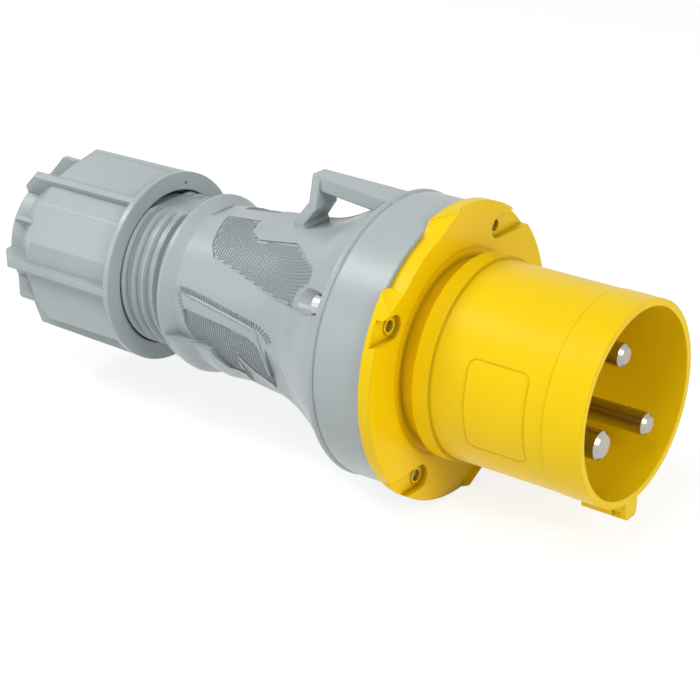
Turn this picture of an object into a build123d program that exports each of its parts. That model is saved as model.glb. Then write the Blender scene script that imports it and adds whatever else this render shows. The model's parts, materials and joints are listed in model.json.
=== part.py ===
from build123d import *
from math import cos, degrees, radians, sin, sqrt
import os

# An industrial plug with two poles and earth, in millimetres.
# The axis is X: x = 0 is the rim of the shroud, and the cable gland lies towards -X. +Z is up.
# A size that ends in _x is a distance behind the rim. Angles are measured from +Y towards +Z.

os.makedirs("parts", exist_ok=True)

# Shroud
shroud_r = 35.5
shroud_wall = 2.5
mouth_band_length = 14.3
mouth_band_step = 0.3
shroud_depth = 56.0
root_ring_x = 58.0
root_ring_length = 6.2
root_ring_step = 0.9
groove_depth = 2.0

# Key under the mouth of the shroud
key_length = 17.0
key_half_width = 4.1
key_tip_half_width = 3.5
key_depth = 6.4
key_corner_r = 1.8
key_dimple_x = 2.0
key_dimple_length = 3.0
key_dimple_height = 3.0
key_dimple_depth = 1.2

# Flange
flange_x = 69.3
flange_thickness = 4.6
flange_r = 53.0
dish_depth = 1.0
dish_outer_r = 50.0
dish_inner_r = 37.5
groove_undercut = 1.5

# Bayonet notches in the flange, with a lip round their front. The angles are given from the middle
# of a notch, as rim, floor, floor, rim
notch_angles = (121.0, -59.0)
notch_front_angles = (-26.0, -10.5, 16.0, 26.0)
notch_cut_reach = 1.3
notch_back_angles = (-15.0, -9.5, 14.5, 17.0)
notch_floor_r = 49.5
notch_lip_height = 1.8
notch_lip_width = 0.5
notch_lip_foot = 3.2

# Screws that hold the housing to the flange
screw_rim_distance = 8.0
screw_angles = (60.0, 150.0, 240.0, 330.0)
screw_r = 2.0
screw_hole_clearance = 0.1
screw_passage_clearance = 0.3
screw_pocket_depth = 2.7
screw_pocket_half_width = 4.3
screw_ring_r = 2.9
screw_ring_height = 0.5
screw_tip_depth = 0.6
screw_head_r = 3.9
screw_head_height = 3.0
screw_head_clearance = 0.7
screw_socket_r = 1.7
screw_socket_depth = 1.6
screw_seat_x = 98.0
front_boss_r = 4.0
front_boss_length = 12.1
boss_clearance = 0.4
rear_boss_r = 6.2

# Contact carrier, which lies in the shroud against a ledge
carrier_thickness = 6.0
carrier_clearance = 0.1
ledge_r = 28.2
ledge_clearance = 0.2
skirt_wall = 3.0
skirt_length = 14.0
tower_r = 8.6
tower_length = 12.0
carrier_rib_thickness = 2.4
carrier_rib_length = 8.0

# Contacts
pin_circle_r = 18.96
pin_tip_x = 2.3
phase_pin_r = 4.0
earth_pin_r = 5.0
pin_chamfer = 1.2
pin_shank_step = 0.8
pin_hole_clearance = 0.1
pin_collar_r = 8.4
pin_collar_thickness = 2.5
barrel_r = 6.8
barrel_length = 35.5
cable_bore_r = 4.4
cable_bore_depth = 22.0
contact_angles = {"line": 105.0, "neutral": -45.0, "earth": -150.0}

# Terminal screws and saddles
terminal_screw_r = 2.5
terminal_screw_length = 6.6
terminal_screw_start = 6.5
terminal_screw_pitch = 9.0
terminal_slot_width = 0.9
terminal_slot_depth = 1.2
saddle_thickness = 0.8
saddle_half_width = 2.0
saddle_length = 18.0
saddle_lift = 3.0
saddle_start = 2.0
saddle_corner_r = 1.2
saddle_clearance = 0.05

# Retainer behind the contacts
retainer_thickness = 4.0
retainer_clearance = 0.4
retainer_hole_clearance = 0.3
retainer_screw_circle_r = 22.0
retainer_screw_angles = (30.0, 157.5, 262.5)
retainer_post_r = 3.5
retainer_screw_r = 1.45
retainer_screw_clearance = 0.05
retainer_screw_length = 14.0
retainer_head_r = 3.0
retainer_head_height = 2.4

# Housing: drum, flare, grip and collar
drum_inset = 2.0
drum_length = 22.1
drum_wall = 3.5
drum_floor = 3.0
drum_edge_r = 3.5
flare_r = 49.0
flare_middle_r = 41.3
flare_middle_length = 16.0
flare_length = 38.0
waist_r = 33.25
grip_r = 28.9
grip_length = 40.5
body_wall = 3.0
strip_half_width = 7.0
strip_drop = 0.8
collar_r = 32.0
collar_length = 5.6
collar_thickness = 1.4

# Grip: mesh panels let into the surface, flattened sides, a pad and a stop under the fingers.
# Outlines are given as (distance behind the rim, height), seen from the panel's own angle
panel_depth = 0.6
upper_panel_angle = 125.0
upper_panel = (
    (168.0, 13.0),
    (164.0, -2.1),
    (160.6, -6.7),
    (109.0, -21.2),
    (108.4, -13.1),
    (109.8, -7.4),
    (128.5, 5.4),
    (145.6, 3.7),
    (150.8, 6.7),
    (152.5, 13.0),
)
lower_panel_angle = 180.0
lower_panel = (
    (168.8, 0.6),
    (149.2, -0.2),
    (137.8, -1.1),
    (133.6, -2.5),
    (130.7, -5.7),
    (128.8, -10.5),
    (128.4, -19.8),
    (133.0, -18.2),
    (136.7, -16.0),
    (143.9, -10.2),
    (144.6, -19.8),
    (151.7, -19.4),
    (155.9, -15.2),
    (156.9, -12.1),
    (164.5, -12.1),
    (167.5, -8.7),
    (169.5, -4.8),
)
pad_outline = (
    (144.6, -19.8),
    (151.7, -19.4),
    (155.9, -15.2),
    (156.9, -12.1),
    (168.0, -12.1),
    (168.0, -40.0),
    (144.6, -40.0),
)
pad_section = ((148.0, 31.2), (152.0, 32.0), (158.0, 32.5), (163.5, 31.8), (168.0, 31.0))
stop_section = ((163.0, 29.6), (166.5, 31.2), (170.0, 33.4), (172.5, 33.9), (175.0, 33.5), (178.7, 31.9))
stop_top_z = -11.8
panel_root_r = 28.2

# Flattened stretches of the grip's side: distance behind the rim, first angle and last angle
flare_flats = (
    (96.5, 199.0, 228.0),
    (104.0, 196.0, 226.0),
    (113.0, 194.0, 225.0),
    (121.0, 188.0, 222.0),
    (128.2, 184.0, 216.0),
)
grip_flats = ((129.4, 213.0, 243.0), (137.0, 207.0, 239.0), (144.5, 199.0, 232.0))
flat_skin = 0.05
flat_cut_reach = 1.5

# Threaded neck, cable gland and seat of the seal
neck_r = 27.3
neck_length = 37.4
neck_bore_r = 24.0
neck_chamfer = 0.8
neck_flat_z = 26.6
seat_x = 168.0
seat_thickness = 4.0
seat_hole_r = 17.0

# Gland nut
nut_gap = 20.1
nut_length = 61.1
nut_ring_r = 36.1
nut_ring_length = 2.6
nut_corner_r = 34.5
nut_flat_half_angle = 12.75
nut_body_length = 41.8
nut_hub_r = 24.3
nut_hub_length = 5.8
nut_bore_r = 29.4
nut_bore_depth = 40.8
nut_shoulder_r = 26.5
nut_cone_length = 12.0
cable_opening_r = 20.0
fin_count = 6
fin_thickness = 3.0
fin_front_r = 36.0
fin_back_r = 35.2
fin_slope_x = 8.7
fin_tail_r = 28.0
fin_tail_x = 0.8
minor_fin_thickness = 1.8
minor_fin_r = 32.3
minor_fin_front_x = 17.3
minor_fin_slope_x = 7.3
nut_mark_r = 0.65
nut_mark_depth = 1.0
nut_mark_circle_r = 31.9
nut_mark_angle = 74.0

# Gland inside the nut
ring_seat_clearance = 0.3
pressure_ring_thickness = 3.0
pressure_ring_clearance = 0.5
pressure_ring_bore_r = 19.0
gland_clearance = 0.4
cage_length = 25.7
cage_wall = 5.0
cage_slot_count = 8
cage_slot_width = 2.0
cage_slot_length = 18.0
seal_length = 22.0
seal_bore_r = 16.2
insert_clearance = 0.1
insert_bore_r = 11.0

# Loop handle over the flare
loop_bar_top_rear_z = 52.4
loop_bar_top_front_z = 50.6
loop_bar_thickness = 5.4
loop_rear_x = 130.5
loop_leg_thickness = 3.4
loop_knee_z = 42.7
loop_foot_x = 136.1
loop_foot_z = 34.9
loop_rear_half_width = 3.3
loop_knee_half_width = 5.6
loop_front_half_width = 6.6
loop_foot_length = 4.2
loop_crank_run = 2.0
loop_crank_drop = 5.0
loop_root_depth = 3.0
loop_root_flare = 2.0
loop_inner_foot_drop = 0.6
loop_inner_knee_drop = 2.0
loop_inner_top_drop = 1.0
loop_trim = 1.0

# Places worked out from the sizes above
shroud_bore_r = shroud_r - shroud_wall
shroud_body_r = shroud_r - mouth_band_step
root_ring_r = shroud_r + root_ring_step
root_ring_back_x = root_ring_x + root_ring_length
groove_r = shroud_body_r - groove_depth
flange_back_x = flange_x + flange_thickness
screw_circle_r = flange_r - screw_rim_distance
carrier_back_x = shroud_depth + carrier_thickness
tower_back_x = carrier_back_x + tower_length
skirt_back_x = flange_back_x + skirt_length
skirt_bore_r = groove_r - skirt_wall
pocket_floor_x = flange_x + screw_pocket_depth
front_boss_back_x = flange_back_x + front_boss_length
retainer_front_x = tower_back_x + pin_collar_thickness
retainer_back_x = retainer_front_x + retainer_thickness
barrel_back_x = retainer_front_x + barrel_length
drum_r = flange_r - drum_inset
drum_back_x = flange_back_x + drum_length
flare_middle_x = drum_back_x + flare_middle_length
grip_taper = (waist_r - grip_r) / grip_length
waist_x = drum_back_x + flare_length
collar_front_x = waist_x + grip_length
collar_back_x = collar_front_x + collar_length
neck_back_x = collar_back_x + neck_length
nut_front_x = collar_back_x + nut_gap
nut_back_x = nut_front_x + nut_length
nut_shoulder_x = nut_front_x + nut_bore_depth
pressure_ring_back_x = nut_shoulder_x - ring_seat_clearance
cage_back_x = pressure_ring_back_x - pressure_ring_thickness
seal_back_x = cage_back_x - cage_length
seal_front_x = seal_back_x - seal_length


def cross_plane(x):
    """The plane square to the axis, x behind the rim, that faces forwards."""
    return Plane.YZ.offset(-x)


def on_circle(radius, angles):
    """Places on a circle about the axis."""
    return [(radius * cos(radians(a)), radius * sin(radians(a))) for a in angles]


def half_section(*points):
    """The closed outline of (distance behind the rim, radius) points, for a turned piece."""
    with BuildSketch(Plane.XZ) as section:
        with BuildLine():
            Polyline(*[(-x, r) for x, r in points], close=True)
        make_face()
    return section.sketch


def rod(x, length, radius, places=((0, 0),), mode=Mode.ADD):
    """Round bars that run back from x, parallel to the axis."""
    with BuildSketch(cross_plane(x)) as ends:
        with Locations(*places):
            Circle(radius)
    extrude(ends.sketch, amount=-length, mode=mode)


def flare_arcs(inset):
    """The two tangent arcs of the flare, from the grip to the drum, moved in by inset."""
    throat = TangentArc(
        (-waist_x, waist_r - inset),
        (-flare_middle_x, flare_middle_r - inset),
        tangent=(1, grip_taper),
    )
    shoulder = TangentArc(throat @ 1, (-drum_back_x, flare_r - inset), tangent=throat % 1)
    return throat, shoulder


def surface_r(x):
    """Radius of the flare or grip at a distance behind the rim."""
    if x > waist_x:
        return waist_r - grip_taper * (x - waist_x)
    throat, shoulder = flare_arcs(0)
    if x > flare_middle_x:
        return throat.arc_center.Y - sqrt(throat.radius**2 - (x + throat.arc_center.X) ** 2)
    return shoulder.arc_center.Y + sqrt(shoulder.radius**2 - (x + shoulder.arc_center.X) ** 2)


def body_section(inset, front_x, back_x):
    """Half section of the flare and grip, with its outline moved in by inset."""
    back_r = waist_r - inset - grip_taper * (back_x - waist_x)
    with BuildSketch(Plane.XZ) as section:
        with BuildLine():
            throat, shoulder = flare_arcs(inset)
            Polyline(
                shoulder @ 1,
                (-front_x, flare_r - inset),
                (-front_x, 0),
                (-back_x, 0),
                (-back_x, back_r),
                throat @ 0,
            )
        make_face()
    return section.sketch


def notch_outline(x, middle, angles, grow):
    """Outline of a bayonet notch at a distance behind the rim, grown by a margin."""
    floor_r = notch_floor_r - grow
    spread = degrees(grow / notch_floor_r)
    start, left, right, end = (middle + a for a in angles)
    floor = on_circle(floor_r, (left - spread, middle, right + spread))
    sides = on_circle(flange_r, (end + spread, start - spread))
    beyond = on_circle(notch_cut_reach * flange_r, (end + spread, middle, start - spread))
    with BuildSketch(cross_plane(x)) as outline:
        with BuildLine():
            ThreePointArc(*floor)
            Polyline(floor[2], sides[0], *beyond, sides[1], floor[0])
        make_face()
    return outline.sketch


# Front: shroud with its key, flange and skirt, moulded in one
screw_places = on_circle(screw_circle_r, screw_angles)
contact_places = {name: on_circle(pin_circle_r, [a])[0] for name, a in contact_angles.items()}
post_places = on_circle(retainer_screw_circle_r, retainer_screw_angles)

lip_crest_x = flange_x - notch_lip_height
notch_front_x = lip_crest_x - notch_lip_width
notch_back_x = flange_back_x + notch_lip_width
notch_lips = []
notch_cuts = []
for angle in notch_angles:
    with BuildPart() as notch_lip:
        loft(
            sections=[
                notch_outline(flange_x + dish_depth, angle, notch_front_angles, notch_lip_foot),
                notch_outline(lip_crest_x, angle, notch_front_angles, notch_lip_width),
            ],
            ruled=True,
        )
        with BuildSketch(cross_plane(notch_front_x)):
            Circle(flange_r)
        extrude(amount=-flange_thickness, mode=Mode.INTERSECT)
    notch_lips.append(notch_lip.part)
    with BuildPart() as notch_cut:
        loft(
            sections=[
                notch_outline(notch_front_x, angle, notch_front_angles, 0),
                notch_outline(notch_back_x, angle, notch_back_angles, 0),
            ],
            ruled=True,
        )
    notch_cuts.append(notch_cut.part)

with BuildPart() as plug_front:
    revolve(
        half_section(
            (0, shroud_bore_r),
            (0, shroud_r),
            (mouth_band_length, shroud_r),
            (mouth_band_length, shroud_body_r),
            (root_ring_x, shroud_body_r),
            (root_ring_x, root_ring_r),
            (root_ring_back_x, root_ring_r),
            (root_ring_back_x, groove_r),
            (flange_x + groove_undercut, groove_r),
            (flange_x + groove_undercut, dish_inner_r - groove_undercut),
            (flange_x + dish_depth, dish_inner_r),
            (flange_x, dish_outer_r),
            (flange_x, flange_r),
            (flange_back_x, flange_r),
            (flange_back_x, groove_r),
            (skirt_back_x, groove_r),
            (skirt_back_x, skirt_bore_r),
            (retainer_front_x, skirt_bore_r),
            (retainer_front_x, ledge_r),
            (carrier_back_x, ledge_r),
            (carrier_back_x, shroud_bore_r),
        ),
        axis=Axis.X,
    )
    for lip, cut in zip(notch_lips, notch_cuts):
        add(lip)
        add(cut, mode=Mode.SUBTRACT)
    key_root_z = -shroud_r + shroud_wall / 2
    with BuildSketch(cross_plane(0)) as key_face:
        with BuildLine():
            Polyline(
                (-key_half_width, key_root_z),
                (-key_tip_half_width, -shroud_r - key_depth),
                (key_tip_half_width, -shroud_r - key_depth),
                (key_half_width, key_root_z),
                close=True,
            )
        make_face()
        fillet(key_face.vertices().group_by(Axis.Z)[0], radius=key_corner_r)
    extrude(amount=-key_length)
    with BuildSketch(Plane.XZ.offset(key_half_width)):
        with Locations((-key_dimple_x, -shroud_r - key_depth)):
            Rectangle(key_dimple_length, key_dimple_height, align=(Align.MAX, Align.MIN))
    extrude(amount=-key_dimple_depth, mode=Mode.SUBTRACT)
    rod(flange_back_x, front_boss_length, front_boss_r, screw_places)
    for x, y_side in zip(screw_places, (1, -1, -1, 1)):
        with BuildSketch(cross_plane(notch_front_x)):
            with Locations(x):
                Circle(screw_pocket_half_width)
            with Locations((x[0] + y_side * screw_circle_r / 2, x[1])):
                Rectangle(screw_circle_r, 2 * screw_pocket_half_width)
        extrude(amount=notch_front_x - pocket_floor_x, mode=Mode.SUBTRACT)
    rod(pocket_floor_x - screw_ring_height, screw_ring_height, screw_ring_r, screw_places)
    rod(
        pocket_floor_x - screw_ring_height,
        front_boss_back_x - pocket_floor_x + screw_ring_height,
        screw_r + screw_hole_clearance,
        screw_places,
        Mode.SUBTRACT,
    )

plug_front.part.label = "plug_front"
export_step(plug_front.part, "parts/plug_front.step")

# Contact carrier: a disc with a tower behind each contact, and posts for the retainer's screws
carrier_r = shroud_bore_r - carrier_clearance
with BuildPart() as contact_carrier:
    rod(shroud_depth, carrier_thickness, carrier_r)
    rod(carrier_back_x, tower_length, tower_r, contact_places.values())
    rod(carrier_back_x, tower_length + pin_collar_thickness, retainer_post_r, post_places)
    with BuildSketch(cross_plane(carrier_back_x)):
        for angle in retainer_screw_angles:
            with Locations(Location((0, 0), angle)):
                with Locations(((ledge_r - ledge_clearance) / 2, 0)):
                    Rectangle(ledge_r - ledge_clearance, carrier_rib_thickness)
    extrude(amount=-carrier_rib_length)
    for name, place in contact_places.items():
        shank_r = (earth_pin_r if name == "earth" else phase_pin_r) + pin_shank_step
        rod(
            shroud_depth,
            carrier_thickness + tower_length,
            shank_r + pin_hole_clearance,
            [place],
            Mode.SUBTRACT,
        )
    rod(
        retainer_front_x - retainer_screw_length + retainer_thickness,
        retainer_screw_length,
        retainer_screw_r + retainer_screw_clearance,
        post_places,
        Mode.SUBTRACT,
    )

contact_carrier.part.label = "contact_carrier"
export_step(contact_carrier.part, "parts/contact_carrier.step")


# Contacts with their terminal barrels, saddles and terminal screws
def outward(name, x, height):
    """A plane at the contact's place, height out from its centre, that faces away from the axis."""
    angle = contact_angles[name]
    reach = pin_circle_r + height
    origin = (-x, reach * cos(radians(angle)), reach * sin(radians(angle)))
    return Plane(origin, x_dir=(1, 0, 0), z_dir=(0, cos(radians(angle)), sin(radians(angle))))


bore_front_x = barrel_back_x - cable_bore_depth
screw_foot = saddle_lift + saddle_thickness + saddle_clearance
terminal_screw_places = (terminal_screw_start, terminal_screw_start + terminal_screw_pitch)
for name, place in contact_places.items():
    pin_r = earth_pin_r if name == "earth" else phase_pin_r
    with BuildPart() as contact:
        rod(pin_tip_x, shroud_depth - pin_tip_x, pin_r, [place])
        chamfer(contact.edges().sort_by(Axis.X)[-1], length=pin_chamfer)
        rod(shroud_depth, tower_back_x - shroud_depth, pin_r + pin_shank_step, [place])
        rod(tower_back_x, pin_collar_thickness, pin_collar_r, [place])
        rod(retainer_front_x, barrel_length, barrel_r, [place])
        rod(bore_front_x, cable_bore_depth, cable_bore_r, [place], Mode.SUBTRACT)
        for step in terminal_screw_places:
            with BuildSketch(outward(name, bore_front_x + step, 0)):
                Circle(terminal_screw_r + screw_hole_clearance)
            extrude(amount=2 * barrel_r, mode=Mode.SUBTRACT)
    contact.part.label = name + "_contact"
    export_step(contact.part, "parts/" + name + "_contact.step")

    with BuildPart() as saddle:
        with BuildSketch(outward(name, bore_front_x + saddle_start + saddle_length / 2, saddle_lift)):
            RectangleRounded(saddle_length, 2 * saddle_half_width, saddle_corner_r)
        extrude(amount=saddle_thickness)
    saddle.part.label = name + "_saddle"
    export_step(saddle.part, "parts/" + name + "_saddle.step")

    with BuildPart() as terminal_screws:
        for step in terminal_screw_places:
            with BuildSketch(outward(name, bore_front_x + step, screw_foot)):
                Circle(terminal_screw_r)
            extrude(amount=terminal_screw_length)
            with BuildSketch(outward(name, bore_front_x + step, screw_foot + terminal_screw_length)):
                Rectangle(3 * terminal_screw_r, terminal_slot_width)
            extrude(amount=-terminal_slot_depth, mode=Mode.SUBTRACT)
    terminal_screws.part.label = name + "_terminal_screws"
    export_step(terminal_screws.part, "parts/" + name + "_terminal_screws.step")

# Retainer plate that holds the contacts' collars against the carrier
with BuildPart() as contact_retainer:
    rod(retainer_front_x, retainer_thickness, skirt_bore_r - retainer_clearance)
    rod(
        retainer_front_x,
        retainer_thickness,
        barrel_r + retainer_hole_clearance,
        contact_places.values(),
        Mode.SUBTRACT,
    )
    rod(
        retainer_front_x,
        retainer_thickness,
        retainer_screw_r + retainer_hole_clearance,
        post_places,
        Mode.SUBTRACT,
    )

contact_retainer.part.label = "contact_retainer"
export_step(contact_retainer.part, "parts/contact_retainer.step")

with BuildPart() as retainer_screws:
    rod(retainer_back_x - retainer_screw_length, retainer_screw_length, retainer_screw_r, post_places)
    rod(retainer_back_x, retainer_head_height, retainer_head_r, post_places)
    with BuildSketch(cross_plane(retainer_back_x + retainer_head_height)):
        with Locations(*post_places):
            Rectangle(3 * retainer_head_r, terminal_slot_width)
    extrude(amount=terminal_slot_depth, mode=Mode.SUBTRACT)

retainer_screws.part.label = "retainer_screws"
export_step(retainer_screws.part, "parts/retainer_screws.step")

# Hollow of the housing, with the screw bosses left standing
with BuildPart() as hollow:
    rod(flange_back_x, drum_length - drum_floor, drum_r - drum_wall)
    revolve(body_section(body_wall, drum_back_x - drum_floor, seat_x - seat_thickness), axis=Axis.X)
    rod(
        front_boss_back_x + boss_clearance,
        waist_x - front_boss_back_x,
        rear_boss_r,
        screw_places,
        Mode.SUBTRACT,
    )
    rod(
        flange_back_x,
        front_boss_length + boss_clearance,
        front_boss_r + boss_clearance,
        screw_places,
    )

# Loop handle: a bar from the drum and a cranked leg down to the flare
loop_bar_slope = (loop_bar_top_rear_z - loop_bar_top_front_z) / (loop_rear_x - drum_back_x)
loop_bar_start_x = drum_back_x - drum_edge_r
loop_foot_inner_x = loop_foot_x - loop_foot_length
with BuildPart() as loop_bar:
    with BuildSketch(Plane.XZ):
        with BuildLine():
            Polyline(
                (-loop_bar_start_x, loop_bar_top_front_z - loop_bar_slope * drum_edge_r),
                (-loop_rear_x, loop_bar_top_rear_z),
                (-loop_rear_x, loop_bar_top_rear_z - loop_bar_thickness),
                (-loop_bar_start_x, loop_bar_top_front_z - loop_bar_thickness),
                close=True,
            )
        make_face()
    extrude(amount=loop_front_half_width + loop_trim, both=True)
    with BuildSketch(Plane.XY):
        with BuildLine():
            Polyline(
                (-loop_bar_start_x, loop_front_half_width),
                (-loop_rear_x, loop_rear_half_width),
                (-loop_rear_x, -loop_rear_half_width),
                (-loop_bar_start_x, -loop_front_half_width),
                close=True,
            )
        make_face()
    extrude(amount=2 * drum_r, mode=Mode.INTERSECT)

with BuildPart() as loop_leg:
    with BuildSketch(Plane.XZ):
        with BuildLine():
            Polyline(
                (-loop_rear_x, loop_bar_top_rear_z),
                (-loop_rear_x, loop_knee_z),
                (-(loop_foot_x - loop_crank_run), loop_knee_z - loop_crank_drop),
                (-loop_foot_x, loop_foot_z),
                (-loop_foot_x, waist_r - loop_root_depth),
                (-loop_foot_inner_x + loop_root_flare, waist_r - loop_root_depth),
                (-loop_foot_inner_x, loop_foot_z - loop_inner_foot_drop),
                (-(loop_rear_x - loop_leg_thickness), loop_knee_z - loop_inner_knee_drop),
                (-(loop_rear_x - loop_leg_thickness), loop_bar_top_rear_z - loop_inner_top_drop),
                close=True,
            )
        make_face()
    extrude(amount=2 * strip_half_width, both=True)
    with BuildSketch(Plane.YZ):
        with BuildLine():
            Polyline(
                (loop_rear_half_width, loop_bar_top_rear_z),
                (loop_knee_half_width, loop_knee_z),
                (strip_half_width, loop_foot_z),
                (strip_half_width, 0),
                (-strip_half_width, 0),
                (-strip_half_width, loop_foot_z),
                (-loop_knee_half_width, loop_knee_z),
                (-loop_rear_half_width, loop_bar_top_rear_z),
                close=True,
            )
        make_face()
    extrude(amount=-nut_back_x, mode=Mode.INTERSECT)


def panel_cut(outline, angle):
    """Solid that lets a panel into the flare or grip, seen from its own angle."""
    side = Plane((0, 0, 0), x_dir=(1, 0, 0), z_dir=(0, cos(radians(angle)), sin(radians(angle))))
    with BuildPart() as cut:
        with BuildSketch(side):
            with BuildLine():
                Polyline(*[(-x, height) for x, height in outline], close=True)
            make_face()
        extrude(amount=drum_r)
        revolve(
            body_section(panel_depth, drum_back_x - drum_edge_r, collar_front_x),
            axis=Axis.X,
            mode=Mode.SUBTRACT,
        )
    return cut.part


def flat_cut(stations):
    """Solid that flattens a side of the flare or grip between two angles at each station."""
    sections = []
    for x, start, end in stations:
        r = surface_r(x) + flat_skin
        with BuildSketch(cross_plane(x)) as section:
            with BuildLine():
                Polyline(*on_circle(r, (start, end)), *on_circle(flat_cut_reach * r, (end, start)), close=True)
            make_face()
        sections.append(section.sketch)
    with BuildPart() as cut:
        loft(sections=sections, ruled=True)
    return cut.part


# Grip's cuts on one side, and their mirror images on the other
side_cuts = [
    panel_cut(upper_panel, upper_panel_angle),
    panel_cut(lower_panel, lower_panel_angle),
    flat_cut(flare_flats),
    flat_cut(grip_flats),
]
side_cuts += [mirror(cut, about=Plane.XZ) for cut in side_cuts]

# Pad and stop under the fingers
with BuildPart() as finger_pad:
    revolve(
        half_section(
            *pad_section,
            (pad_section[-1][0], panel_root_r),
            (pad_section[0][0], panel_root_r),
        ),
        axis=Axis.X,
    )
    with BuildSketch(Plane.XZ):
        with BuildLine():
            Polyline(*[(-x, z) for x, z in pad_outline], close=True)
        make_face()
    extrude(amount=drum_r, both=True, mode=Mode.INTERSECT)

with BuildPart() as finger_stop:
    revolve(
        half_section(
            *stop_section,
            (stop_section[-1][0], panel_root_r),
            (stop_section[0][0], panel_root_r),
        ),
        axis=Axis.X,
    )
    with BuildSketch(Plane.XY.offset(stop_top_z)):
        with Locations((-collar_front_x, 0)):
            Rectangle(2 * drum_r, 2 * drum_r)
    extrude(amount=-drum_r, mode=Mode.INTERSECT)

# Housing: drum, flare, grip, collar and threaded neck, moulded in one with the loop
with BuildPart() as housing:
    rod(flange_back_x, drum_length, drum_r)
    fillet(housing.edges().sort_by(Axis.X)[0], radius=drum_edge_r)
    revolve(body_section(0, drum_back_x - drum_edge_r, collar_front_x), axis=Axis.X)
    with BuildSketch(Plane.XZ):
        with Locations((-drum_back_x, drum_r / 2)):
            Rectangle(flare_length + grip_length, drum_r, align=(Align.MAX, Align.MIN))
        add(body_section(strip_drop, drum_back_x - drum_edge_r, collar_front_x), mode=Mode.SUBTRACT)
    extrude(amount=strip_half_width, both=True, mode=Mode.SUBTRACT)
    for cut in side_cuts:
        add(cut, mode=Mode.SUBTRACT)
    add(finger_pad.part)
    add(finger_stop.part)
    add(loop_bar.part)
    add(loop_leg.part)
    revolve(
        half_section(
            (collar_front_x, 0),
            (collar_front_x, grip_r),
            (collar_back_x - collar_thickness, collar_r),
            (collar_back_x, collar_r),
            (collar_back_x, neck_r),
            (neck_back_x - neck_chamfer, neck_r),
            (neck_back_x, neck_r - neck_chamfer),
            (neck_back_x, 0),
        ),
        axis=Axis.X,
    )
    with BuildSketch(Plane.XY.offset(neck_flat_z)):
        with Locations((-collar_back_x, 0)):
            Rectangle(neck_length, 2 * neck_r, align=(Align.MAX, Align.CENTER))
    extrude(amount=neck_r, mode=Mode.SUBTRACT)
    add(hollow.part, mode=Mode.SUBTRACT)
    rod(
        front_boss_back_x,
        screw_seat_x - front_boss_back_x,
        screw_r + screw_passage_clearance,
        screw_places,
        Mode.SUBTRACT,
    )
    rod(
        screw_seat_x,
        waist_x - screw_seat_x,
        screw_head_r + screw_head_clearance,
        screw_places,
        Mode.SUBTRACT,
    )
    rod(seat_x - seat_thickness - 1, seat_thickness + 2, seat_hole_r, mode=Mode.SUBTRACT)
    rod(seat_x, neck_back_x - seat_x, neck_bore_r, mode=Mode.SUBTRACT)

housing.part.label = "housing"
export_step(housing.part, "parts/housing.step")

# Housing screws, driven from behind, with their tips in the flange's holes
for number, place in enumerate(screw_places, start=1):
    with BuildPart() as housing_screw:
        rod(
            pocket_floor_x + screw_tip_depth,
            screw_seat_x - pocket_floor_x - screw_tip_depth,
            screw_r,
            [place],
        )
        rod(screw_seat_x, screw_head_height, screw_head_r, [place])
        with BuildSketch(cross_plane(screw_seat_x + screw_head_height)):
            with Locations(place):
                RegularPolygon(screw_socket_r, 6)
        extrude(amount=screw_socket_depth, mode=Mode.SUBTRACT)
    housing_screw.part.label = "housing_screw_" + str(number)
    export_step(housing_screw.part, "parts/housing_screw_" + str(number) + ".step")

# Gland nut: a faceted cap with six main fins, and six short ones on its shoulder
flat_corners = []
for k in range(fin_count):
    middle = 180 / fin_count + 360 / fin_count * k
    flat_corners += [middle - nut_flat_half_angle, middle + nut_flat_half_angle]
fin_angles = [360 / fin_count * k for k in range(fin_count)]
minor_fin_angles = [a + 180 / fin_count for a in fin_angles]
nut_hub_x = nut_back_x - nut_hub_length


def fins(angles, thickness, *points):
    """Radial plates with the given (distance behind the rim, radius) outline."""
    section = half_section(*points)
    for angle in angles:
        plate = extrude(section, amount=thickness / 2, both=True, mode=Mode.PRIVATE)
        add(plate.rotate(Axis.X, angle - 90))


with BuildPart() as gland_nut:
    with BuildSketch(cross_plane(nut_front_x)):
        with BuildLine():
            Polyline(*on_circle(nut_corner_r, flat_corners), close=True)
        make_face()
    extrude(amount=-nut_length)
    revolve(
        half_section(
            (nut_front_x, 0),
            (nut_front_x, nut_ring_r),
            (nut_front_x + nut_body_length, nut_ring_r),
            (nut_front_x + nut_body_length, nut_corner_r),
            (nut_hub_x, nut_hub_r),
            (nut_back_x, nut_hub_r),
            (nut_back_x, 0),
        ),
        axis=Axis.X,
        mode=Mode.INTERSECT,
    )
    rod(nut_front_x, nut_ring_length, nut_ring_r)
    fins(
        fin_angles,
        fin_thickness,
        (nut_front_x, nut_bore_r),
        (nut_front_x, fin_front_r),
        (nut_back_x - fin_slope_x, fin_back_r),
        (nut_back_x - fin_tail_x, fin_tail_r),
        (nut_back_x, nut_hub_r),
        (nut_back_x, cable_opening_r),
        (nut_shoulder_x, cable_opening_r),
    )
    fins(
        minor_fin_angles,
        minor_fin_thickness,
        (nut_back_x - minor_fin_front_x, cable_opening_r),
        (nut_back_x - minor_fin_front_x, minor_fin_r),
        (nut_back_x - minor_fin_slope_x, minor_fin_r),
        (nut_back_x, nut_hub_r),
        (nut_back_x, cable_opening_r),
    )
    revolve(
        half_section(
            (nut_front_x, 0),
            (nut_front_x, nut_bore_r),
            (nut_shoulder_x, nut_bore_r),
            (nut_shoulder_x, nut_shoulder_r),
            (nut_shoulder_x + nut_cone_length, cable_opening_r),
            (nut_back_x, cable_opening_r),
            (nut_back_x, 0),
        ),
        axis=Axis.X,
        mode=Mode.SUBTRACT,
    )
    rod(
        nut_front_x,
        nut_mark_depth,
        nut_mark_r,
        on_circle(nut_mark_circle_r, [nut_mark_angle]),
        Mode.SUBTRACT,
    )

gland_nut.part.label = "gland_nut"
export_step(gland_nut.part, "parts/gland_nut.step")

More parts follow.
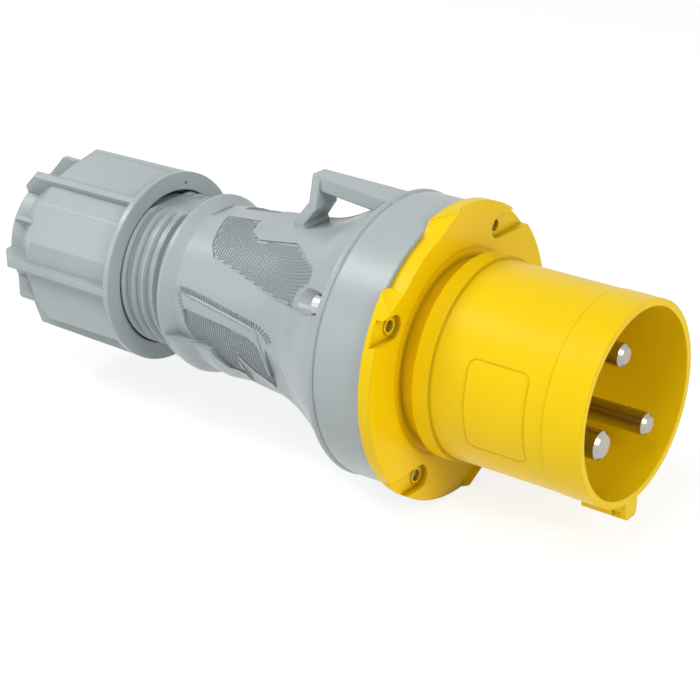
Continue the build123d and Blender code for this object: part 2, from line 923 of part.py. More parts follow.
# Pressure ring between the nut and the clamping cage
with BuildPart() as pressure_ring:
    rod(cage_back_x, pressure_ring_thickness, nut_bore_r - pressure_ring_clearance)
    rod(cage_back_x, pressure_ring_thickness, pressure_ring_bore_r, mode=Mode.SUBTRACT)

pressure_ring.part.label = "pressure_ring"
export_step(pressure_ring.part, "parts/pressure_ring.step")

# Clamping cage with fingers that close on the cable
gland_r = neck_bore_r - gland_clearance
cage_slot_angles = [360 / cage_slot_count * k for k in range(cage_slot_count)]
with BuildPart() as clamping_cage:
    rod(seal_back_x, cage_length, gland_r)
    rod(seal_back_x, cage_length, gland_r - cage_wall, mode=Mode.SUBTRACT)
    with BuildSketch(cross_plane(seal_back_x)):
        for angle in cage_slot_angles:
            with Locations(Location((0, 0), angle)):
                with Locations((gland_r, 0)):
                    Rectangle(gland_r, cage_slot_width)
    extrude(amount=-cage_slot_length, mode=Mode.SUBTRACT)

clamping_cage.part.label = "clamping_cage"
export_step(clamping_cage.part, "parts/clamping_cage.step")

# Rubber seal and its removable inner sleeve for a thinner cable
with BuildPart() as gland_seal:
    rod(seal_front_x, seal_length, gland_r)
    rod(seal_front_x, seal_length, seal_bore_r, mode=Mode.SUBTRACT)

gland_seal.part.label = "gland_seal"
export_step(gland_seal.part, "parts/gland_seal.step")

with BuildPart() as seal_insert:
    rod(seal_front_x, seal_length, seal_bore_r - insert_clearance)
    rod(seal_front_x, seal_length, insert_bore_r, mode=Mode.SUBTRACT)

seal_insert.part.label = "seal_insert"
export_step(seal_insert.part, "parts/seal_insert.step")
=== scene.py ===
import json
from math import ceil, cos, degrees, hypot, pi, radians, sin

import bmesh
import bpy
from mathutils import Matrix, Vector
from mathutils.bvhtree import BVHTree


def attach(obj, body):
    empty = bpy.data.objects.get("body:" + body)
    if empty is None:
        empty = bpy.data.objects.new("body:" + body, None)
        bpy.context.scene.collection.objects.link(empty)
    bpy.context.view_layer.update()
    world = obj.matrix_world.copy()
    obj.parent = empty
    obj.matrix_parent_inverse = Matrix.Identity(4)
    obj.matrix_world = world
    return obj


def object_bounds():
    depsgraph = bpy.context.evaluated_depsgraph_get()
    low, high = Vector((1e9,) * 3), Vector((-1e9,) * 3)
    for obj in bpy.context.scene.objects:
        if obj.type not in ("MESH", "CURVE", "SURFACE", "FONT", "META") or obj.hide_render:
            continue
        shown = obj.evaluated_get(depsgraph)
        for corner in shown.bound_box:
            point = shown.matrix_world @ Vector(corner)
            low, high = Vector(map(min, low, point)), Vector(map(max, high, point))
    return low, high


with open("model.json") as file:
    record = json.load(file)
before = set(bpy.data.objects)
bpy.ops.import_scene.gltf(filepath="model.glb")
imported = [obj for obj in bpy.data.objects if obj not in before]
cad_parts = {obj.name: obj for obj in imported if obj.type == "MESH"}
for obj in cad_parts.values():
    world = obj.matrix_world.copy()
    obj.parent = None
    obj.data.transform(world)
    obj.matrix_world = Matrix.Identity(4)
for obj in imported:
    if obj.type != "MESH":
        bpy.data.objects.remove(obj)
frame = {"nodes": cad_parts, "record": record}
cad_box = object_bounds()

MM = 0.001

# Edges sharper than this many degrees stay sharp, on pieces with flat faces and on rounded ones
SMOOTH_ANGLE = 30.0
ROUND_SMOOTH_ANGLE = 60.0

# Camera: the photograph's place and lens. Its place and near clip are in m
CAMERA_PLACE = Vector((300.8, -554.3, 299.0)) * MM
CAMERA_FORWARD = Vector((-0.5492, 0.7288, -0.4091))
CAMERA_LENS = 109.48
SENSOR_WIDTH = 36.0
CLIP_START = 0.01

# Lamps: name, place in m, side in m and power in W
LAMPS = (
    ("key", (-0.78, -0.34, 0.79), 0.3, 3.5),
    ("top", (-0.05, -0.55, 0.95), 0.5, 3.6),
    ("side", (-0.9, -0.85, 0.3), 0.4, 1.1),
    ("front", (1.0, -0.3, 0.55), 0.5, 6.0),
)
WORLD_LIGHT = 0.28
WORLD_WHITE = 1.0

# Floor: half its side and its gap under the plug in m, its own white, and what the camera sees
FLOOR_HALF = 6.0
FLOOR_GAP = 0.0002
FLOOR_WHITE = 0.90
FLOOR_ROUGHNESS = 0.9
FLOOR_GLOW = 0.82
FLOOR_VEIL = 0.30

# Colours, linear: the main tone, the tone of the clouds in it, and the painted shade in corners
# and grooves
YELLOW = (0.960, 0.665, 0.003)
YELLOW_SHADE = (0.920, 0.620, 0.002)
# Painted shade, which darkens the yellow in corners and grooves
YELLOW_PAINTED_SHADE = (0.340, 0.205, 0.001)
GREY = (0.428, 0.482, 0.488)
GREY_SHADE = (0.385, 0.437, 0.446)
# Painted shade, which darkens the grey in corners and grooves
GREY_PAINTED_SHADE = (0.340, 0.384, 0.394)
NICKEL = (0.50, 0.46, 0.40)
NICKEL_SHADE = (0.40, 0.365, 0.31)
ZINC = (0.56, 0.57, 0.58)
ZINC_SHADE = (0.42, 0.43, 0.44)
BLACK = (0.016, 0.016, 0.017)
BLACK_SHADE = (0.010, 0.010, 0.011)
RUBBER = (0.022, 0.022, 0.021)
RUBBER_SHADE = (0.014, 0.014, 0.014)

# Finishes by the record's slot names. Reach of the painted corner shade and radius of the eased
# edges in mm
FINISHES = {
    "yellow_plastic": dict(
        base=YELLOW,
        shade=YELLOW_SHADE,
        roughness=0.34,
        # Painted shade in the yellow's corners and grooves
        painted_shade=YELLOW_PAINTED_SHADE,
        reach=5.0,
        grain=0.25,
        edge=0.5,
        specular=0.15,
    ),
    "grey_plastic": dict(
        base=GREY,
        shade=GREY_SHADE,
        roughness=0.32,
        # Painted shade in the grey's corners and grooves
        painted_shade=GREY_PAINTED_SHADE,
        reach=3.0,
        grain=0.35,
        edge=1.0,
    ),
    "nickel": dict(
        base=NICKEL, shade=NICKEL_SHADE, roughness=0.24, metallic=1.0, grain=0.2, scuff=0.2
    ),
    "steel": dict(base=ZINC, shade=ZINC_SHADE, roughness=0.34, metallic=1.0, grain=0.3, scuff=0.2),
    "black_plastic": dict(base=BLACK, shade=BLACK_SHADE, roughness=0.46, grain=0.4),
    "seal_rubber": dict(
        base=RUBBER, shade=RUBBER_SHADE, roughness=0.70, grain=0.6, grain_scale=600.0
    ),
}

# Noise of the finishes, and the stretches of noise and of painted corner shade that they use
CLOUD_NOISE = {"Scale": 22.0, "Detail": 5.0}
WIPE_NOISE = {"Scale": 120.0, "Detail": 6.0, "Roughness": 0.65}
GRAIN_DETAIL = 2.0
GRAIN_DEPTH = 0.05
NOISE_SPAN = (0.3, 0.7)
CORNER_SHADE_SPAN = (0.25, 0.85)
GLOSS_SPAN = (0.92, 1.10)
CORNER_SHADE_SAMPLES = 8
EDGE_SAMPLES = 6

# Thread between the neck of the housing and the gland nut, in mm
THREAD_PITCH = 4.8
THREAD_BASE_WIDTH = 2.9
THREAD_CREST_WIDTH = 1.1
THREAD_STEPS_PER_TURN = 96
THREAD_RUN_OUT_STEPS = 24
THREAD_SINK = 0.3
NECK_CORE_R = 27.3
NECK_CREST_R = 28.9
NECK_FLAT_Z = 26.6
NECK_FLAT_COVER = 0.2
NECK_FLAT_SINE = 0.5
NECK_THREAD_X = (-183.0, -215.6)
NUT_BORE_R = 29.4
NUT_CREST_R = 27.85
NUT_THREAD_X = (-202.2, -214.2)

# Grip's panels: outlines as (distance behind the rim, height) in mm, seen from a panel's angle
UPPER_PANEL_ANGLE = 125.0
UPPER_PANEL = (
    (168.0, 13.0),
    (164.0, -2.1),
    (160.6, -6.7),
    (109.0, -21.2),
    (108.4, -13.1),
    (109.8, -7.4),
    (128.5, 5.4),
    (145.6, 3.7),
    (150.8, 6.7),
    (152.5, 13.0),
)
LOWER_PANEL_ANGLE = 180.0
LOWER_PANEL = (
    (168.8, 0.6),
    (149.2, -0.2),
    (137.8, -1.1),
    (133.6, -2.5),
    (130.7, -5.7),
    (128.8, -10.5),
    (128.4, -19.8),
    (133.0, -18.2),
    (136.7, -16.0),
    (143.9, -10.2),
    (144.6, -19.8),
    (151.7, -19.4),
    (155.9, -15.2),
    (156.9, -12.1),
    (164.5, -12.1),
    (167.5, -8.7),
    (169.5, -4.8),
)

# Knobs on the panels' floors. Their edge margins are in mm along the plug and in rows across it
KNOB_PITCH = 1.15
KNOB_HALF_LENGTH = 0.30
KNOB_HALF_WIDTH = 0.46
KNOB_HEIGHT = 0.24
KNOB_SLOPE = 0.1
KNOB_SINK = 0.08
KNOB_EDGE = 0.6
KNOB_SIDE_EDGE = 0.55
KNOB_ROWS_EACH_WAY = 28
KNOB_LARGEST_STEP = 0.4
GRIP_MEAN_R = 32.5
SCREW_POCKET_R = 6.6

# Ribbed strip above the lower panel and down its end by the collar: (x, angle), in mm and degrees
STRIP_TOP = (
    (-171.8, 163.2),
    (-166.2, 163.6),
    (-157.5, 165.2),
    (-149.0, 167.6),
    (-141.5, 169.1),
    (-134.1, 170.5),
    (-130.9, 171.7),
    (-127.4, 173.8),
    (-125.3, 175.9),
    (-123.9, 178.1),
)
STRIP_BOTTOM = (
    (-170.6, 166.9),
    (-164.7, 167.3),
    (-157.3, 168.9),
    (-149.8, 170.6),
    (-141.6, 172.2),
    (-134.4, 173.7),
    (-132.1, 174.8),
    (-130.0, 176.6),
    (-128.2, 179.0),
    (-127.0, 181.5),
)
SIDE_OUTER = ((-173.4, 167.0), (-172.2, 173.7), (-171.2, 178.5), (-169.9, 184.0), (-168.4, 191.5))
SIDE_INNER = ((-171.0, 168.4), (-170.6, 173.0), (-169.6, 176.8), (-168.9, 180.0), (-167.6, 185.0))
STRIP_PITCH = 1.15
STRIP_RIB_WIDTH = 0.5
STRIP_RIB_TOP_SHARE = 0.55
STRIP_RIB_HEIGHT = 0.42
STRIP_RIB_SINK = 0.06
STRIP_RIB_SPOTS = (0.06, 0.36, 0.66, 0.94)
STRIP_SAMPLES = 400

# Ridge under the strip, which turns down along the flare: (x, angle)
RIDGE_LINE = (
    (-170.0, 167.9),
    (-164.6, 168.6),
    (-157.2, 170.0),
    (-149.6, 171.7),
    (-141.0, 173.6),
    (-135.3, 175.2),
    (-133.2, 177.0),
    (-132.2, 180.3),
    (-130.8, 186.1),
    (-129.7, 190.7),
    (-128.8, 196.5),
    (-128.3, 204.0),
    (-127.6, 212.0),
)
RIDGE_WIDTH = 1.6
RIDGE_HEIGHT = 0.5
RIDGE_SINK = 0.1
RIDGE_STEPS = 120
RIDGE_LOOK_STEPS = 4
RIDGE_END_SHARE = 0.25
RIDGE_START_TAPER = 10
RIDGE_STOP_TAPER = 24

# Rim round the back edge of the drum
DRUM_RIM_X = -95.7
DRUM_RIM_R = 48.8
DRUM_RIM_HALF_WIDTH = 1.6
DRUM_RIM_HEIGHT = 2.7
DRUM_RIM_SINK = 0.3
DRUM_RIM_STEPS = 160
ARCH_STEPS = 6

# Plain frame on the side of the shroud, with nothing inside: its ends along x, and its angles
LABEL_X = (-44.6, -21.6)
LABEL_ANGLE = (152.7, 206.0)
LABEL_CORNER_R = 3.0
LABEL_CORNER_STEPS = 8
LABEL_LONGEST_STEP = 1.5
LABEL_LINE = 0.45
LABEL_CREST_SHARE = 0.6
LABEL_HEIGHT = 0.22
LABEL_SINK = 0.1
SHROUD_BODY_R = 35.2


def direction(angle):
    """Unit vector out from the axis at an angle from +Y towards +Z."""
    return Vector((0, cos(radians(angle)), sin(radians(angle))))


def add_node(tree, kind, values=None):
    """A shader node with values on the inputs that are named."""
    node = tree.nodes.new(kind)
    for name, value in (values or {}).items():
        node.inputs[name].default_value = value
    return node


def span(low_high, start="From"):
    """The two ends of a stretch, by the input names of a Map Range node."""
    return {f"{start} Min": low_high[0], f"{start} Max": low_high[1]}


def two_tones(tree, place, base, shade):
    """Soft clouds of one tone in another."""
    clouds = add_node(tree, "ShaderNodeTexNoise", CLOUD_NOISE)
    tree.links.new(place, clouds.inputs["Vector"])
    tones = tree.nodes.new("ShaderNodeValToRGB")
    for stop, at, tone in zip(tones.color_ramp.elements, NOISE_SPAN, (shade, base)):
        stop.position = at
        stop.color = (*tone, 1)
    tree.links.new(clouds.outputs["Fac"], tones.inputs["Fac"])
    return tones.outputs["Color"]


def paint_corner_shade(tree, tone, painted_shade, reach):
    """Painted shade: a darker tone in corners and grooves up to a reach in mm, and the other tone
    elsewhere.
    """
    corners = add_node(tree, "ShaderNodeAmbientOcclusion", {"Distance": reach * MM})
    corners.samples = CORNER_SHADE_SAMPLES
    fade = add_node(tree, "ShaderNodeMapRange", span(CORNER_SHADE_SPAN))
    tree.links.new(corners.outputs["AO"], fade.inputs["Value"])
    shade_mix = tree.nodes.new("ShaderNodeMix")
    shade_mix.data_type = "RGBA"
    shade_mix.inputs["A"].default_value = (*painted_shade, 1)
    tree.links.new(fade.outputs["Result"], shade_mix.inputs["Factor"])
    tree.links.new(tone, shade_mix.inputs["B"])
    return shade_mix.outputs["Result"]


def uneven_gloss(tree, place, roughness, scuff):
    """Roughness that varies a little over the surface, and more where it is scuffed."""
    wipe = add_node(tree, "ShaderNodeTexNoise", WIPE_NOISE)
    tree.links.new(place, wipe.inputs["Vector"])
    low, high = GLOSS_SPAN
    ends = (roughness * (low - scuff), roughness * (high + scuff))
    gloss = add_node(tree, "ShaderNodeMapRange", {**span(NOISE_SPAN), **span(ends, "To")})
    tree.links.new(wipe.outputs["Fac"], gloss.inputs["Value"])
    return gloss.outputs["Result"]


def grained_normal(tree, place, grain, grain_scale, edge):
    """Normal with eased edges and a fine moulded grain."""
    eased = add_node(tree, "ShaderNodeBevel", {"Radius": edge * MM})
    eased.samples = EDGE_SAMPLES
    fine = add_node(tree, "ShaderNodeTexNoise", {"Scale": grain_scale, "Detail": GRAIN_DETAIL})
    tree.links.new(place, fine.inputs["Vector"])
    bump = add_node(tree, "ShaderNodeBump", {"Strength": grain, "Distance": GRAIN_DEPTH * MM})
    tree.links.new(fine.outputs["Fac"], bump.inputs["Height"])
    tree.links.new(eased.outputs["Normal"], bump.inputs["Normal"])
    return bump.outputs["Normal"]


def material(
    name,
    base,
    shade,
    roughness,
    grain,
    painted_shade=None,
    reach=0.0,
    metallic=0.0,
    grain_scale=900.0,
    edge=0.25,
    scuff=0.0,
    specular=0.5,
):
    """A finish of two close tones, with painted shade darkening its corners and grooves where a
    painted shade tone is given.
    """
    mat = bpy.data.materials.new(name)
    mat.use_nodes = True
    tree = mat.node_tree
    shader = tree.nodes["Principled BSDF"]
    shader.inputs["Metallic"].default_value = metallic
    shader.inputs["Specular IOR Level"].default_value = specular
    place = tree.nodes.new("ShaderNodeTexCoord").outputs["Object"]
    tone = two_tones(tree, place, base, shade)
    if painted_shade:
        # Painted shade darkens the colour in corners and grooves
        tone = paint_corner_shade(tree, tone, painted_shade, reach)
    tree.links.new(tone, shader.inputs["Base Color"])
    gloss = uneven_gloss(tree, place, roughness, scuff)
    tree.links.new(gloss, shader.inputs["Roughness"])
    normal = grained_normal(tree, place, grain, grain_scale, edge)
    tree.links.new(normal, shader.inputs["Normal"])
    return mat


def dress(finishes):
    """Gives every CAD node the finish of its slot."""
    slots = {entry["node"]: entry["material_slot"] for entry in frame["record"]["subparts"]}
    for name, node in frame["nodes"].items():
        node.data.materials.clear()
        node.data.materials.append(finishes[slots[name]])


def new_piece(name, bm, slot, body, smooth_angle=SMOOTH_ANGLE):
    """Turns a bmesh in mm into a piece that rides on a body."""
    mesh = bpy.data.meshes.new(name)
    bmesh.ops.scale(bm, vec=(MM, MM, MM), verts=bm.verts)
    bmesh.ops.recalc_face_normals(bm, faces=bm.faces)
    bm.to_mesh(mesh)
    bm.free()
    piece = bpy.data.objects.new(name, mesh)
    bpy.context.collection.objects.link(piece)
    mesh.materials.append(finishes[slot])
    for polygon in mesh.polygons:
        polygon.use_smooth = True
    mesh.set_sharp_from_angle(angle=radians(smooth_angle))
    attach(piece, body)


def join_rings(bm, rings, closed=False):
    """Faces from each ring of vertices to the next, with end caps unless the run is closed."""
    size = len(rings[0])
    for one, two in zip(rings, rings[1:] + rings[:1] if closed else rings[1:]):
        for k in range(size):
            bm.faces.new((one[k], one[(k + 1) % size], two[(k + 1) % size], two[k]))
    if not closed:
        bm.faces.new(rings[0][::-1])
        bm.faces.new(rings[-1])


def skin_of(name):
    """Search tree of a CAD node's surface."""
    node = frame["nodes"][name]
    places = [node.matrix_world @ vertex.co for vertex in node.data.vertices]
    return BVHTree.FromPolygons(places, [tuple(face.vertices) for face in node.data.polygons])


def skin_r(skin, x, angle):
    """Radius in mm at which a surface is first met from outside."""
    out = direction(angle)
    start = Vector((x * MM, 0, 0)) + out * (cad_box[1][2] - cad_box[0][2])
    hit = skin.ray_cast(start, -out)[0]
    return hypot(hit.y, hit.z) / MM


def lifted(skin, x, angle, lift):
    """A place on a surface, raised by lift."""
    return Vector((x, 0, 0)) + direction(angle) * (skin_r(skin, x, angle) + lift)


def on_line(line, share):
    """Place at a share of the way along a line of (x, angle) points."""
    at = share * (len(line) - 1)
    k = min(int(at), len(line) - 2)
    (xa, a), (xb, b) = line[k], line[k + 1]
    return xa + (xb - xa) * (at - k), a + (b - a) * (at - k)


def arch():
    """Cosine and sine of the turns over a half round, from one foot to the other."""
    turns = [pi * k / ARCH_STEPS for k in range(ARCH_STEPS + 1)]
    return [(cos(turn), sin(turn)) for turn in turns]


def thread(x_range, foot_r, crest_r, sink, flat_z=None):
    """A right-handed helical ridge on a foot radius, kept under the neck's flat where it has one.
    The nut's ridge points inwards and lies half a pitch from the neck's."""
    bm = bmesh.new()
    front, back = x_range
    steps = round((front - back) / THREAD_PITCH * THREAD_STEPS_PER_TURN)
    offset = THREAD_PITCH / 2 if crest_r < foot_r else 0.0
    rings = []
    for i in range(steps + 1):
        middle = front - (front - back) * i / steps
        angle = 2 * pi * (middle - NECK_THREAD_X[0] - offset) / THREAD_PITCH
        run_out = min(1.0, i / THREAD_RUN_OUT_STEPS, (steps - i) / THREAD_RUN_OUT_STEPS)
        crest = foot_r + (crest_r - foot_r) * run_out
        top = crest
        if flat_z and sin(angle) > NECK_FLAT_SINE:
            top = (flat_z - NECK_FLAT_COVER) / sin(angle)
        ring = []
        for side, radius in (
            (-THREAD_BASE_WIDTH / 2, foot_r - sink),
            (-THREAD_CREST_WIDTH / 2, crest),
            (THREAD_CREST_WIDTH / 2, crest),
            (THREAD_BASE_WIDTH / 2, foot_r - sink),
        ):
            radius = min(radius, top)
            ring.append(bm.verts.new((middle + side, radius * cos(angle), radius * sin(angle))))
        rings.append(ring)
    join_rings(bm, rings)
    return bm


def inside(outline, x, height):
    """Whether a place lies within an outline of (distance behind the rim, height)."""
    odd = False
    for (xa, ha), (xb, hb) in zip(outline, outline[1:] + outline[:1]):
        if (ha > height) != (hb > height):
            if -x < xa + (height - ha) / (hb - ha) * (xb - xa):
                odd = not odd
    return odd


def in_screw_pocket(place):
    """Whether a place lies in the pocket over a housing screw, seen along the axis."""
    for name, node in frame["nodes"].items():
        if name.startswith("housing_screw"):
            corners = [node.matrix_world @ Vector(corner) for corner in node.bound_box]
            middle = sum(corners, Vector()) / (len(corners) * MM)
            if hypot(place.y - middle.y, place.z - middle.z) < SCREW_POCKET_R:
                return True
    return False


def both_sides(*makers):
    """What the makers add on one side of the plug, with its mirror image on the other."""
    bm = bmesh.new()
    for make in makers:
        make(bm)
    twin = bmesh.ops.duplicate(bm, geom=bm.verts[:] + bm.edges[:] + bm.faces[:])
    for item in twin["geom"]:
        if isinstance(item, bmesh.types.BMVert):
            item.co.y = -item.co.y
    return bm


def knob(bm, foot, out):
    """A small block with sloped sides, which stands on a place."""
    along = Vector((1, 0, 0))
    across = Vector((0, -out.z, out.y))
    rings = []
    for growth, lift in ((KNOB_SLOPE, -KNOB_SINK), (-KNOB_SLOPE, KNOB_HEIGHT)):
        side_a = along * (KNOB_HALF_LENGTH + growth)
        side_b = across * (KNOB_HALF_WIDTH + growth)
        rings.append([
            bm.verts.new(foot + side_a * a + side_b * b + out * lift)
            for a, b in ((-1, -1), (1, -1), (1, 1), (-1, 1))
        ])
    join_rings(bm, rings)


def knobs(skin, outline, facing):
    """Fills a panel with rows of small knobs that stand on its floor, clear of its walls."""
    low = min(x for x, h in outline)
    high = max(x for x, h in outline)
    step = degrees(KNOB_PITCH / GRIP_MEAN_R)
    side_edge = KNOB_SIDE_EDGE * step

    def make(bm):
        for row in range(-KNOB_ROWS_EACH_WAY, KNOB_ROWS_EACH_WAY + 1):
            angle = facing + step * row
            out = direction(angle)
            for column in range(ceil((high - low) / KNOB_PITCH)):
                x = -(low + KNOB_PITCH * (column + 0.5))
                floor_r = skin_r(skin, x, angle)
                spots = [(x, angle), (x - KNOB_EDGE, angle), (x + KNOB_EDGE, angle)]
                spots += [(x, angle - side_edge), (x, angle + side_edge)]
                heights = [floor_r * sin(radians(facing - a)) for _, a in spots]
                if not all(inside(outline, a, h) for (a, _), h in zip(spots, heights)):
                    continue
                if in_screw_pocket(out * floor_r):
                    continue
                # Along the plug the floor may slope, so the two sides are taken together
                _, back, front, one, other = (skin_r(skin, a, b) - floor_r for a, b in spots)
                if max(abs(back + front), abs(one), abs(other)) > KNOB_LARGEST_STEP:
                    continue
                knob(bm, Vector((x, 0, 0)) + out * floor_r, out)
    return make


def ribs(skin, top, bottom):
    """Short ribs from one edge of a strip to the other, at an even pitch along its bottom edge."""
    def make(bm):
        shares = [i / STRIP_SAMPLES for i in range(STRIP_SAMPLES + 1)]
        places = [lifted(skin, *on_line(bottom, share), 0) for share in shares]
        lengths = [0.0]
        for one, two in zip(places, places[1:]):
            lengths.append(lengths[-1] + (two - one).length)
        k = 0
        for rib in range(int(lengths[-1] / STRIP_PITCH) + 1):
            while k < STRIP_SAMPLES and lengths[k] < rib * STRIP_PITCH:
                k += 1
            (xa, a), (xb, b) = on_line(bottom, shares[k]), on_line(top, shares[k])
            run = lifted(skin, xb, b, -STRIP_RIB_SINK) - lifted(skin, xa, a, -STRIP_RIB_SINK)
            rings = []
            for spot in STRIP_RIB_SPOTS:
                angle = a + (b - a) * spot
                out = direction(angle)
                foot = lifted(skin, xa + (xb - xa) * spot, angle, -STRIP_RIB_SINK)
                side = run.cross(out).normalized() * STRIP_RIB_WIDTH / 2
                crest_side = side * STRIP_RIB_TOP_SHARE
                crest = foot + out * (STRIP_RIB_HEIGHT + STRIP_RIB_SINK)
                corners = (foot - side, crest - crest_side, crest + crest_side, foot + side)
                rings.append([bm.verts.new(corner) for corner in corners])
            join_rings(bm, rings)
    return make


def ridge(skin, line):
    """A low rounded ridge along a line on a surface, smaller towards both ends."""
    def make(bm):
        rings = []
        for i in range(RIDGE_STEPS + 1):
            x, angle = on_line(line, i / RIDGE_STEPS)
            here = lifted(skin, x, angle, -RIDGE_SINK)
            before = on_line(line, max(0, i - RIDGE_LOOK_STEPS) / RIDGE_STEPS)
            after = on_line(line, min(RIDGE_STEPS, i + RIDGE_LOOK_STEPS) / RIDGE_STEPS)
            run = (lifted(skin, *after, 0) - lifted(skin, *before, 0)).normalized()
            out = direction(angle)
            swell = min(
                1.0,
                RIDGE_END_SHARE + i / RIDGE_START_TAPER,
                RIDGE_END_SHARE + (RIDGE_STEPS - i) / RIDGE_STOP_TAPER,
            )
            side = run.cross(out).normalized() * RIDGE_WIDTH / 2 * swell
            lift = out * (RIDGE_HEIGHT + RIDGE_SINK) * swell
            rings.append([bm.verts.new(here + side * c + lift * s) for c, s in arch()])
        join_rings(bm, rings)
    return make


def drum_rim():
    """A low rounded rim round the back edge of the drum, where the flare begins."""
    bm = bmesh.new()
    rings = []
    for i in range(DRUM_RIM_STEPS):
        out = direction(360 * i / DRUM_RIM_STEPS)
        ring = []
        for c, s in arch():
            radius = DRUM_RIM_R - DRUM_RIM_SINK + (DRUM_RIM_HEIGHT + DRUM_RIM_SINK) * s
            x = DRUM_RIM_X + DRUM_RIM_HALF_WIDTH * c
            ring.append(bm.verts.new(Vector((x, 0, 0)) + out * radius))
        rings.append(ring)
    join_rings(bm, rings, closed=True)
    return bm


def round_box(half_x, half_y, corner_r):
    """Points round a box with round corners, each with the direction out of the box there."""
    corners = []
    for a, b, start in ((1, 1, 0), (-1, 1, 90), (-1, -1, 180), (1, -1, 270)):
        for k in range(LABEL_CORNER_STEPS + 1):
            turn = radians(start + 90 * k / LABEL_CORNER_STEPS)
            x = a * (half_x - corner_r) + corner_r * cos(turn)
            y = b * (half_y - corner_r) + corner_r * sin(turn)
            corners.append((x, y, cos(turn), sin(turn)))
    points = []
    for one, two in zip(corners, corners[1:] + corners[:1]):
        parts = max(1, ceil(hypot(two[0] - one[0], two[1] - one[1]) / LABEL_LONGEST_STEP))
        points += [[p + (q - p) * k / parts for p, q in zip(one, two)] for k in range(parts)]
    return points


def label_frame():
    """A thin raised frame with round corners on the side of the shroud, bare inside."""
    bm = bmesh.new()
    half_x = (LABEL_X[1] - LABEL_X[0]) / 2
    half_arc = radians(LABEL_ANGLE[1] - LABEL_ANGLE[0]) / 2 * SHROUD_BODY_R
    middle_x = sum(LABEL_X) / 2
    middle_angle = radians(sum(LABEL_ANGLE) / 2)
    profile = (
        (-1, -LABEL_SINK),
        (-LABEL_CREST_SHARE, LABEL_HEIGHT),
        (LABEL_CREST_SHARE, LABEL_HEIGHT),
        (1, -LABEL_SINK),
    )
    rings = []
    for x, arc, out_x, out_arc in round_box(half_x, half_arc, LABEL_CORNER_R):
        ring = []
        for share, lift in profile:
            shift = share * LABEL_LINE / 2
            angle = middle_angle + (arc + out_arc * shift) / SHROUD_BODY_R
            radius = SHROUD_BODY_R + lift
            place = (middle_x + x + out_x * shift, radius * cos(angle), radius * sin(angle))
            ring.append(bm.verts.new(place))
        rings.append(ring)
    join_rings(bm, rings, closed=True)
    return bm


def add_light(name, place, target, size, power):
    """A soft square lamp aimed at a point."""
    data = bpy.data.lights.new(name, "AREA")
    data.size = size
    data.energy = power
    lamp = bpy.data.objects.new(name, data)
    bpy.context.collection.objects.link(lamp)
    lamp.location = place
    lamp.rotation_euler = (target - Vector(place)).to_track_quat("-Z", "Y").to_euler()


def for_camera(tree, plain, seen, target):
    """Shows one shader to camera, glossy and transmission rays, and the plain one to the rest."""
    path = tree.nodes.new("ShaderNodeLightPath")
    seen_by = path.outputs["Is Camera Ray"]
    for other in ("Is Glossy Ray", "Is Transmission Ray"):
        either = tree.nodes.new("ShaderNodeMath")
        either.operation = "MAXIMUM"
        tree.links.new(seen_by, either.inputs[0])
        tree.links.new(path.outputs[other], either.inputs[1])
        seen_by = either.outputs["Value"]
    mix = tree.nodes.new("ShaderNodeMixShader")
    tree.links.new(seen_by, mix.inputs["Fac"])
    tree.links.new(plain, mix.inputs[1])
    tree.links.new(seen, mix.inputs[2])
    tree.links.new(mix.outputs["Shader"], target)


def floor_paint():
    """Matt white, which the camera sees as pure white with the plug's shadow on it."""
    paint = bpy.data.materials.new("floor_white")
    paint.use_nodes = True
    tree = paint.node_tree
    shader = tree.nodes["Principled BSDF"]
    shader.inputs["Base Color"].default_value = (FLOOR_WHITE, FLOOR_WHITE, FLOOR_WHITE, 1)
    shader.inputs["Roughness"].default_value = FLOOR_ROUGHNESS
    glow = add_node(tree, "ShaderNodeEmission", {"Strength": FLOOR_GLOW})
    veil_colour = (FLOOR_VEIL, FLOOR_VEIL, FLOOR_VEIL, 1)
    veil = add_node(tree, "ShaderNodeBsdfDiffuse", {"Color": veil_colour})
    both = tree.nodes.new("ShaderNodeAddShader")
    tree.links.new(glow.outputs["Emission"], both.inputs[0])
    tree.links.new(veil.outputs["BSDF"], both.inputs[1])
    target = tree.nodes["Material Output"].inputs["Surface"]
    for_camera(tree, shader.outputs["BSDF"], both.outputs["Shader"], target)
    return paint


def add_floor():
    """A large flat floor just under the plug."""
    mesh = bpy.data.meshes.new("floor")
    bm = bmesh.new()
    bmesh.ops.create_grid(bm, x_segments=1, y_segments=1, size=FLOOR_HALF)
    bmesh.ops.translate(bm, verts=bm.verts, vec=(0, 0, cad_box[0][2] - FLOOR_GAP))
    bm.to_mesh(mesh)
    bm.free()
    floor = bpy.data.objects.new("floor", mesh)
    bpy.context.collection.objects.link(floor)
    mesh.materials.append(floor_paint())


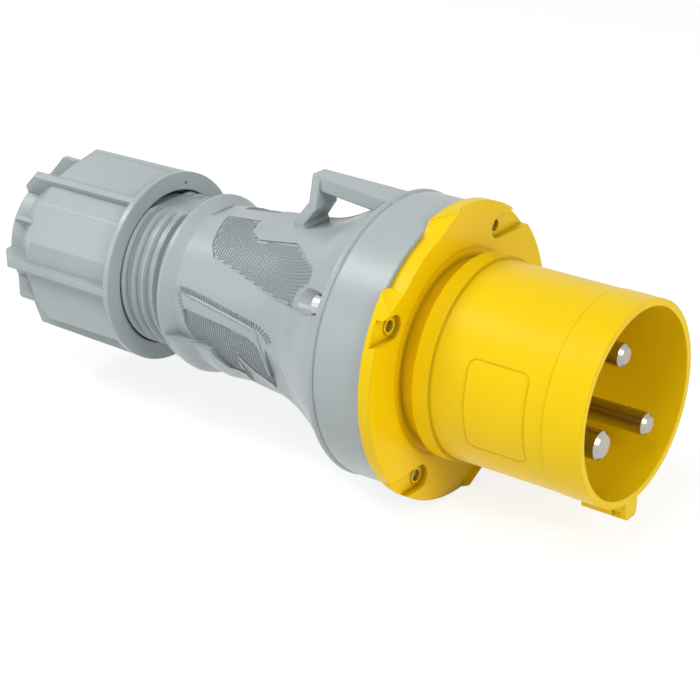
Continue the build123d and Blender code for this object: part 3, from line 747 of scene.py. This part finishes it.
def add_world():
    """A white world, dimmer as a light than as the camera sees it."""
    world = bpy.data.worlds.new("studio")
    bpy.context.scene.world = world
    world.use_nodes = True
    tree = world.node_tree
    plain = tree.nodes["Background"]
    plain.inputs["Color"].default_value = (1, 1, 1, 1)
    plain.inputs["Strength"].default_value = WORLD_LIGHT
    values = {"Color": (1, 1, 1, 1), "Strength": WORLD_WHITE}
    white = add_node(tree, "ShaderNodeBackground", values)
    target = tree.nodes["World Output"].inputs["Surface"]
    for_camera(tree, plain.outputs["Background"], white.outputs["Background"], target)


def add_camera():
    """The camera at the photograph's place."""
    data = bpy.data.cameras.new("camera")
    data.sensor_width = SENSOR_WIDTH
    data.sensor_fit = "HORIZONTAL"
    data.lens = CAMERA_LENS
    data.clip_start = CLIP_START
    camera = bpy.data.objects.new("camera", data)
    bpy.context.collection.objects.link(camera)
    camera.location = CAMERA_PLACE
    camera.rotation_euler = CAMERA_FORWARD.to_track_quat("-Z", "Y").to_euler()
    bpy.context.scene.camera = camera


finishes = {name: material(name, **values) for name, values in FINISHES.items()}
dress(finishes)

neck = thread(NECK_THREAD_X, NECK_CORE_R, NECK_CREST_R, THREAD_SINK, NECK_FLAT_Z)
new_piece("neck_thread", neck, "grey_plastic", "plug_body")
bore = thread(NUT_THREAD_X, NUT_BORE_R, NUT_CREST_R, -THREAD_SINK)
new_piece("nut_thread", bore, "grey_plastic", "nut")

housing_skin = skin_of("housing")
upper_knobs = knobs(housing_skin, UPPER_PANEL, UPPER_PANEL_ANGLE)
lower_knobs = knobs(housing_skin, LOWER_PANEL, LOWER_PANEL_ANGLE)
strip = ribs(housing_skin, STRIP_TOP, STRIP_BOTTOM)
side_strip = ribs(housing_skin, SIDE_OUTER, SIDE_INNER)
strip_ridge = ridge(housing_skin, RIDGE_LINE)
new_piece("grip_mesh", both_sides(upper_knobs, lower_knobs), "grey_plastic", "plug_body")
new_piece("strip_ribs", both_sides(strip), "grey_plastic", "plug_body")
new_piece("side_ribs", both_sides(side_strip), "grey_plastic", "plug_body")
new_piece("grip_ridge", both_sides(strip_ridge), "grey_plastic", "plug_body", ROUND_SMOOTH_ANGLE)
new_piece("drum_rim", drum_rim(), "grey_plastic", "plug_body", ROUND_SMOOTH_ANGLE)
new_piece("label_frame", label_frame(), "yellow_plastic", "plug_body")

add_floor()
add_world()
for name, place, size, power in LAMPS:
    add_light(name, place, (Vector(cad_box[0]) + Vector(cad_box[1])) / 2, size, power)
add_camera()
bpy.context.scene.view_settings.view_transform = "Standard"
